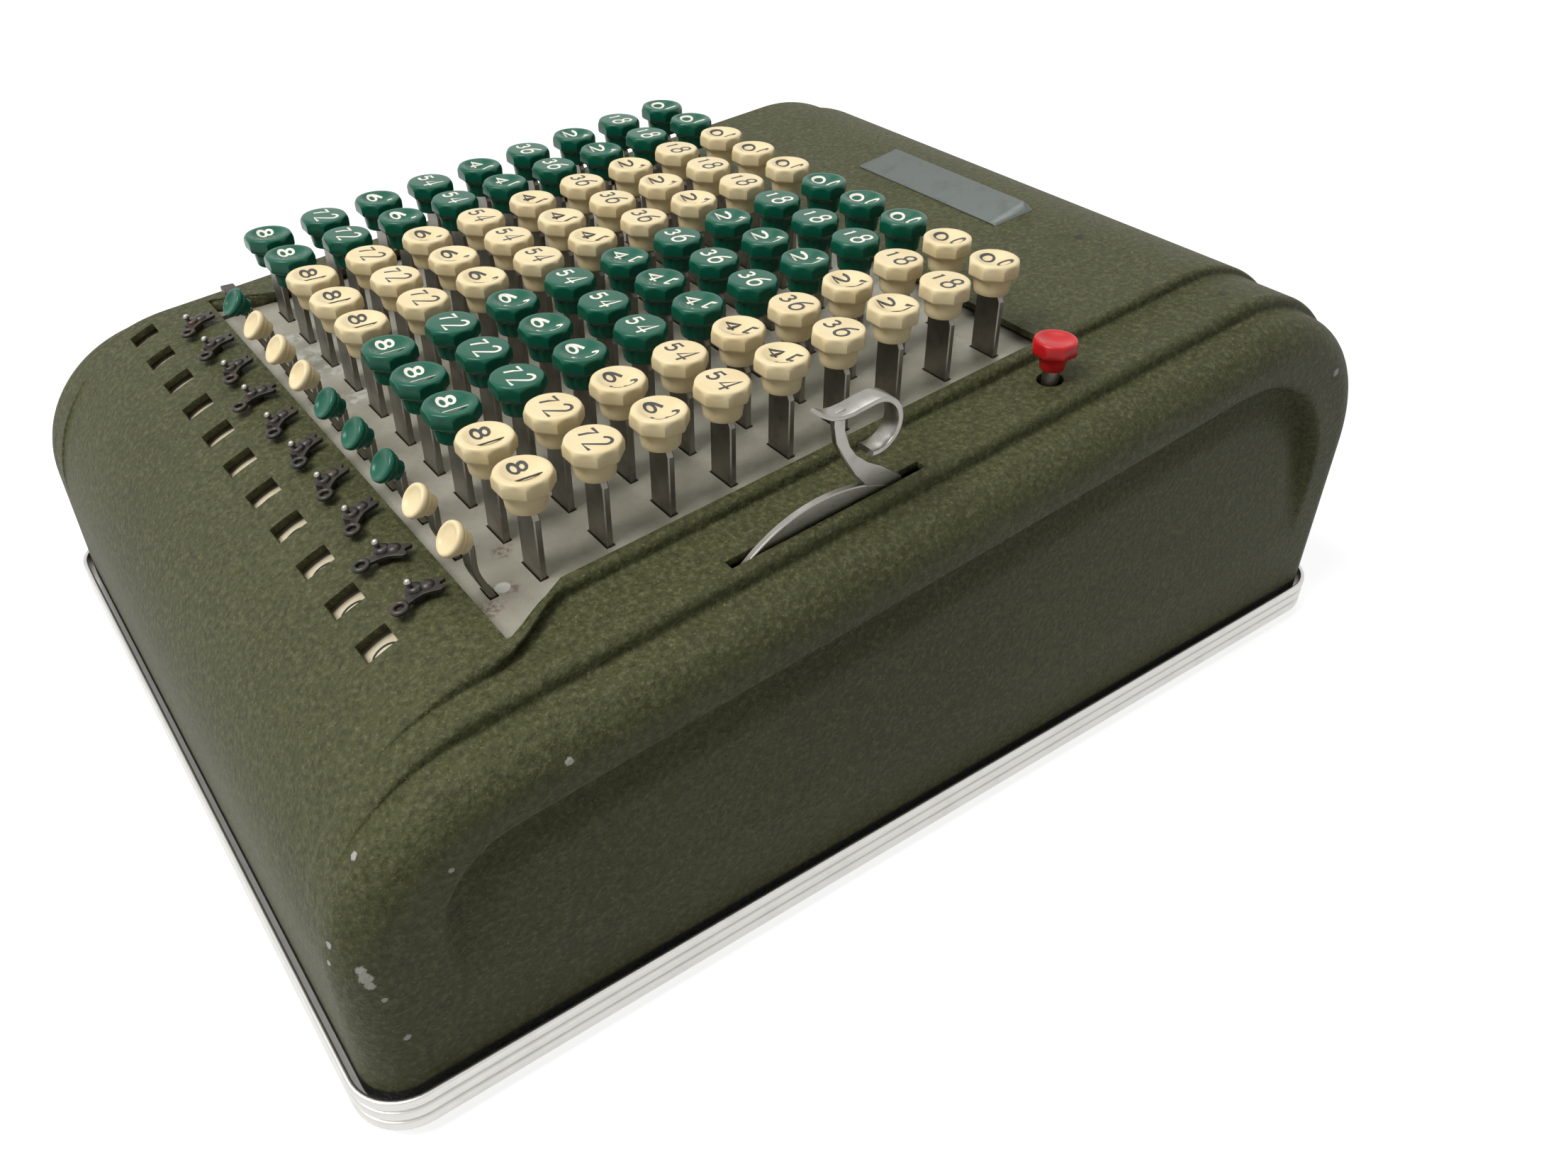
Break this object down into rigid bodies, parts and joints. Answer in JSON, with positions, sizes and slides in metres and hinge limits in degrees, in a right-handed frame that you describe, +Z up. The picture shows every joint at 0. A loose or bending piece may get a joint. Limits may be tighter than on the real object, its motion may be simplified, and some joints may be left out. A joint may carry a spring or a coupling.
{
  "type": "adding machine",
  "caption": "Key-driven desk adding machine: sloping keyboard of dished and flat keys, dial windows, clear lever, in an olive sheet-metal case on a fluted base.",
  "frame": {"origin": "centre of the footprint on the plane that the rubber feet stand on", "axes": "+X to the user's right, +Y to the back of the machine, +Z up"},
  "size_m": [0.2774, 0.3604, 0.1492],
  "materials": {
    "case_paint": "fine wrinkle enamel, olive green, semi-matt",
    "trim_metal": "polished aluminium with three flutes",
    "key_green": "moulded plastic, polished",
    "key_cream": "moulded plastic, aged cream",
    "key_red": "moulded plastic, polished",
    "plate_steel": "dull grey steel with stains",
    "blued_steel": "oil-blackened steel",
    "nickel": "worn nickel plate",
    "bright_steel": "machined steel",
    "dial_cream": "matt cream dial",
    "foot_rubber": "matt black rubber",
    "plate_bare": "bare metal plate, satin"
  },
  "bodies": {
    "machine": {"upper_case": "case_paint", "base_trim": "trim_metal", "base_pan": "blued_steel", "rubber_feet": "foot_rubber", "foot_screws": "bright_steel", "nameplate": "plate_bare", "keyboard_plate": "plate_steel", "lower_guide_plate": "plate_steel", "frame_left": "blued_steel", "frame_right": "blued_steel", "cross_rails": "blued_steel", "register_shaft": "bright_steel", "lever_shaft": "bright_steel", "lever_stud": "bright_steel", "pointer_posts": "blued_steel"},
    "keys_1": {"keys_column_1": "key_green"},
    "keys_2": {"keys_column_2": "key_green"},
    "keys_3": {"keys_column_3": "key_cream"},
    "keys_4": {"keys_column_4": "key_cream"},
    "keys_5": {"keys_column_5": "key_cream"},
    "keys_6": {"keys_column_6": "key_green"},
    "keys_7": {"keys_column_7": "key_green"},
    "keys_8": {"keys_column_8": "key_green"},
    "keys_9": {"keys_column_9": "key_cream"},
    "units_key_1_body": {"units_key_1": "key_cream"},
    "units_key_2_body": {"units_key_2": "key_cream"},
    "units_key_3_body": {"units_key_3": "key_cream"},
    "units_key_4_body": {"units_key_4": "key_cream"},
    "units_key_5_body": {"units_key_5": "key_cream"},
    "units_key_6_body": {"units_key_6": "key_cream"},
    "units_key_7_body": {"units_key_7": "key_cream"},
    "units_key_8_body": {"units_key_8": "key_cream"},
    "units_key_9_body": {"units_key_9": "key_cream"},
    "cutoff_2": {"cutoff_button_2": "key_green"},
    "cutoff_3": {"cutoff_button_3": "key_cream"},
    "cutoff_4": {"cutoff_button_4": "key_cream"},
    "cutoff_5": {"cutoff_button_5": "key_cream"},
    "cutoff_6": {"cutoff_button_6": "key_green"},
    "cutoff_7": {"cutoff_button_7": "key_green"},
    "cutoff_8": {"cutoff_button_8": "key_green"},
    "cutoff_9": {"cutoff_button_9": "key_cream"},
    "cutoff_10": {"cutoff_button_10": "key_cream"},
    "pointer_1_body": {"pointer_1": "blued_steel"},
    "pointer_2_body": {"pointer_2": "blued_steel"},
    "pointer_3_body": {"pointer_3": "blued_steel"},
    "pointer_4_body": {"pointer_4": "blued_steel"},
    "pointer_5_body": {"pointer_5": "blued_steel"},
    "pointer_6_body": {"pointer_6": "blued_steel"},
    "pointer_7_body": {"pointer_7": "blued_steel"},
    "pointer_8_body": {"pointer_8": "blued_steel"},
    "pointer_9_body": {"pointer_9": "blued_steel"},
    "pointer_10_body": {"pointer_10": "blued_steel"},
    "clear_lever_body": {"clear_lever": "nickel"},
    "release": {"release_key": "key_red"},
    "tab": {"tab_lever": "blued_steel"},
    "units_wheel_body": {"units_wheel": "dial_cream"},
    "units_lever_body": {"units_lever": "bright_steel"},
    "register_wheels_body": {"register_wheels": "dial_cream"},
    "column_levers_body": {"column_levers": "bright_steel"}
  },
  "joints": [
    {"name": "keys_1_press", "type": "slide", "parent": "machine", "child": "keys_1", "axis": [0, 0, -1], "range_m": [0, 0.005], "stiffness_N_per_m": 300, "springref_m": -0.006},
    {"name": "keys_2_press", "type": "slide", "parent": "machine", "child": "keys_2", "axis": [0, 0, -1], "range_m": [0, 0.005], "stiffness_N_per_m": 300, "springref_m": -0.006},
    {"name": "keys_3_press", "type": "slide", "parent": "machine", "child": "keys_3", "axis": [0, 0, -1], "range_m": [0, 0.005], "stiffness_N_per_m": 300, "springref_m": -0.006},
    {"name": "keys_4_press", "type": "slide", "parent": "machine", "child": "keys_4", "axis": [0, 0, -1], "range_m": [0, 0.005], "stiffness_N_per_m": 300, "springref_m": -0.006},
    {"name": "keys_5_press", "type": "slide", "parent": "machine", "child": "keys_5", "axis": [0, 0, -1], "range_m": [0, 0.005], "stiffness_N_per_m": 300, "springref_m": -0.006},
    {"name": "keys_6_press", "type": "slide", "parent": "machine", "child": "keys_6", "axis": [0, 0, -1], "range_m": [0, 0.005], "stiffness_N_per_m": 300, "springref_m": -0.006},
    {"name": "keys_7_press", "type": "slide", "parent": "machine", "child": "keys_7", "axis": [0, 0, -1], "range_m": [0, 0.005], "stiffness_N_per_m": 300, "springref_m": -0.006},
    {"name": "keys_8_press", "type": "slide", "parent": "machine", "child": "keys_8", "axis": [0, 0, -1], "range_m": [0, 0.005], "stiffness_N_per_m": 300, "springref_m": -0.006},
    {"name": "keys_9_press", "type": "slide", "parent": "machine", "child": "keys_9", "axis": [0, 0, -1], "range_m": [0, 0.005], "stiffness_N_per_m": 300, "springref_m": -0.006},
    {"name": "units_key_1_press", "type": "slide", "parent": "machine", "child": "units_key_1_body", "axis": [0, 0, -1], "range_m": [0, 0.0041], "stiffness_N_per_m": 60, "springref_m": -0.006},
    {"name": "units_key_2_press", "type": "slide", "parent": "machine", "child": "units_key_2_body", "axis": [0, 0, -1], "range_m": [0, 0.005], "stiffness_N_per_m": 60, "springref_m": -0.006},
    {"name": "units_key_3_press", "type": "slide", "parent": "machine", "child": "units_key_3_body", "axis": [0, 0, -1], "range_m": [0, 0.0059], "stiffness_N_per_m": 60, "springref_m": -0.006},
    {"name": "units_key_4_press", "type": "slide", "parent": "machine", "child": "units_key_4_body", "axis": [0, 0, -1], "range_m": [0, 0.0068], "stiffness_N_per_m": 60, "springref_m": -0.006},
    {"name": "units_key_5_press", "type": "slide", "parent": "machine", "child": "units_key_5_body", "axis": [0, 0, -1], "range_m": [0, 0.0077], "stiffness_N_per_m": 60, "springref_m": -0.006},
    {"name": "units_key_6_press", "type": "slide", "parent": "machine", "child": "units_key_6_body", "axis": [0, 0, -1], "range_m": [0, 0.0086], "stiffness_N_per_m": 60, "springref_m": -0.006},
    {"name": "units_key_7_press", "type": "slide", "parent": "machine", "child": "units_key_7_body", "axis": [0, 0, -1], "range_m": [0, 0.0095], "stiffness_N_per_m": 60, "springref_m": -0.006},
    {"name": "units_key_8_press", "type": "slide", "parent": "machine", "child": "units_key_8_body", "axis": [0, 0, -1], "range_m": [0, 0.0104], "stiffness_N_per_m": 60, "springref_m": -0.006},
    {"name": "units_key_9_press", "type": "slide", "parent": "machine", "child": "units_key_9_body", "axis": [0, 0, -1], "range_m": [0, 0.0113], "stiffness_N_per_m": 60, "springref_m": -0.006},
    {"name": "cutoff_2_press", "type": "slide", "parent": "machine", "child": "cutoff_2", "axis": [0, 0.3891, -0.9212], "range_m": [0, 0.003], "stiffness_N_per_m": 40, "springref_m": -0.004},
    {"name": "cutoff_3_press", "type": "slide", "parent": "machine", "child": "cutoff_3", "axis": [0, 0.3891, -0.9212], "range_m": [0, 0.003], "stiffness_N_per_m": 40, "springref_m": -0.004},
    {"name": "cutoff_4_press", "type": "slide", "parent": "machine", "child": "cutoff_4", "axis": [0, 0.3891, -0.9212], "range_m": [0, 0.003], "stiffness_N_per_m": 40, "springref_m": -0.004},
    {"name": "cutoff_5_press", "type": "slide", "parent": "machine", "child": "cutoff_5", "axis": [0, 0.3891, -0.9212], "range_m": [0, 0.003], "stiffness_N_per_m": 40, "springref_m": -0.004},
    {"name": "cutoff_6_press", "type": "slide", "parent": "machine", "child": "cutoff_6", "axis": [0, 0.3891, -0.9212], "range_m": [0, 0.003], "stiffness_N_per_m": 40, "springref_m": -0.004},
    {"name": "cutoff_7_press", "type": "slide", "parent": "machine", "child": "cutoff_7", "axis": [0, 0.3891, -0.9212], "range_m": [0, 0.003], "stiffness_N_per_m": 40, "springref_m": -0.004},
    {"name": "cutoff_8_press", "type": "slide", "parent": "machine", "child": "cutoff_8", "axis": [0, 0.3891, -0.9212], "range_m": [0, 0.003], "stiffness_N_per_m": 40, "springref_m": -0.004},
    {"name": "cutoff_9_press", "type": "slide", "parent": "machine", "child": "cutoff_9", "axis": [0, 0.3891, -0.9212], "range_m": [0, 0.003], "stiffness_N_per_m": 40, "springref_m": -0.004},
    {"name": "cutoff_10_press", "type": "slide", "parent": "machine", "child": "cutoff_10", "axis": [0, 0.3891, -0.9212], "range_m": [0, 0.003], "stiffness_N_per_m": 40, "springref_m": -0.004},
    {"name": "pointer_1_turn", "type": "hinge", "parent": "machine", "child": "pointer_1_body", "pos_m": [-0.09093, -0.12824, 0.10544], "axis": [0, -0.1874, 0.9823], "range_deg": [-49, 14]},
    {"name": "pointer_2_turn", "type": "hinge", "parent": "machine", "child": "pointer_2_body", "pos_m": [-0.07187, -0.12824, 0.10544], "axis": [0, -0.1874, 0.9823], "range_deg": [-47, 16]},
    {"name": "pointer_3_turn", "type": "hinge", "parent": "machine", "child": "pointer_3_body", "pos_m": [-0.05282, -0.12824, 0.10544], "axis": [0, -0.1874, 0.9823], "range_deg": [-61, 2]},
    {"name": "pointer_4_turn", "type": "hinge", "parent": "machine", "child": "pointer_4_body", "pos_m": [-0.03377, -0.12824, 0.10544], "axis": [0, -0.1874, 0.9823], "range_deg": [-27, 36]},
    {"name": "pointer_5_turn", "type": "hinge", "parent": "machine", "child": "pointer_5_body", "pos_m": [-0.01473, -0.12824, 0.10544], "axis": [0, -0.1874, 0.9823], "range_deg": [-58, 5]},
    {"name": "pointer_6_turn", "type": "hinge", "parent": "machine", "child": "pointer_6_body", "pos_m": [0.00432, -0.12824, 0.10544], "axis": [0, -0.1874, 0.9823], "range_deg": [-60, 3]},
    {"name": "pointer_7_turn", "type": "hinge", "parent": "machine", "child": "pointer_7_body", "pos_m": [0.02337, -0.12824, 0.10544], "axis": [0, -0.1874, 0.9823], "range_deg": [-59, 4]},
    {"name": "pointer_8_turn", "type": "hinge", "parent": "machine", "child": "pointer_8_body", "pos_m": [0.04242, -0.12824, 0.10544], "axis": [0, -0.1874, 0.9823], "range_deg": [-56, 7]},
    {"name": "pointer_9_turn", "type": "hinge", "parent": "machine", "child": "pointer_9_body", "pos_m": [0.06148, -0.12824, 0.10544], "axis": [0, -0.1874, 0.9823], "range_deg": [-2, 61]},
    {"name": "pointer_10_turn", "type": "hinge", "parent": "machine", "child": "pointer_10_body", "pos_m": [0.08052, -0.12824, 0.10544], "axis": [0, -0.1874, 0.9823], "range_deg": [-20, 43]},
    {"name": "clear_lever_pull", "type": "hinge", "parent": "machine", "child": "clear_lever_body", "pos_m": [0.116, -0.0345, 0.077], "axis": [1, 0, 0], "range_deg": [0, 45], "stiffness_Nm_per_rad": 0.12, "springref_deg": -20.05},
    {"name": "release_press", "type": "slide", "parent": "machine", "child": "release", "axis": [0, 0, -1], "range_m": [0, 0.0022], "stiffness_N_per_m": 60, "springref_m": -0.006},
    {"name": "tab_turn", "type": "hinge", "parent": "machine", "child": "tab", "pos_m": [-0.0985, -0.11245, 0.09439], "axis": [1, 0, 0], "range_deg": [0, 12]},
    {"name": "units_wheel_turn", "type": "hinge", "parent": "machine", "child": "units_wheel_body", "pos_m": [0, -0.13179, 0.07987], "axis": [1, 0, 0], "range_deg": [-324, 0]},
    {"name": "units_lever_swing", "type": "hinge", "parent": "machine", "child": "units_lever_body", "pos_m": [0, 0.142, 0.078], "axis": [1, 0, 0], "range_deg": [0, 3.83]},
    {"name": "register_turn", "type": "hinge", "parent": "machine", "child": "register_wheels_body", "pos_m": [0, -0.13179, 0.07987], "axis": [1, 0, 0], "range_deg": [-324, 0]},
    {"name": "column_levers_swing", "type": "hinge", "parent": "machine", "child": "column_levers_body", "pos_m": [0, 0.142, 0.078], "axis": [1, 0, 0], "range_deg": [0, 3.83]}
  ],
  "couplings": [
    {"joint": "units_lever_swing", "follows": "units_wheel_turn", "ratio": -0.011826},
    {"joint": "column_levers_swing", "follows": "register_turn", "ratio": -0.011826}
  ]
}
